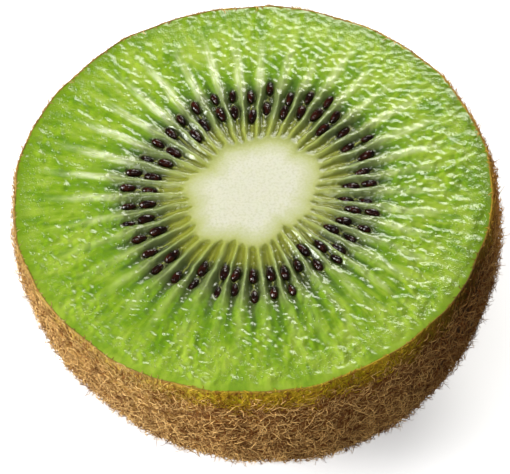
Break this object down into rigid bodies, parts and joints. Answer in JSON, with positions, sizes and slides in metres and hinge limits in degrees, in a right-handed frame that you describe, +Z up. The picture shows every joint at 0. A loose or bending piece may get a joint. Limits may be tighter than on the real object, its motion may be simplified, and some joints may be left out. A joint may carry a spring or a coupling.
{
  "type": "kiwi fruit half",
  "caption": "Fruit half cut across, standing on its round end: furry brown skin side, juicy green cut face with a pale core ringed by small dark seeds.",
  "frame": {"origin": "centre of the small flat spot on the round end that the half rests on", "axes": "+Z up, square to the cut face; +X to the right as the fruit is seen, the way its axis leans going down"},
  "size_m": [0.0528, 0.0525, 0.0328],
  "materials": {
    "flesh": "wet, juicy and a little see-through; green, paler along the ribs, with a cream core",
    "skin": "thin dull brown skin, yellow green where the light comes through at the cut",
    "fur": "short matted tan and brown hairs",
    "seed": "glossy, near black with a dark red glow"
  },
  "bodies": {
    "root": {"kiwi_half": "flesh"}
  },
  "joints": []
}
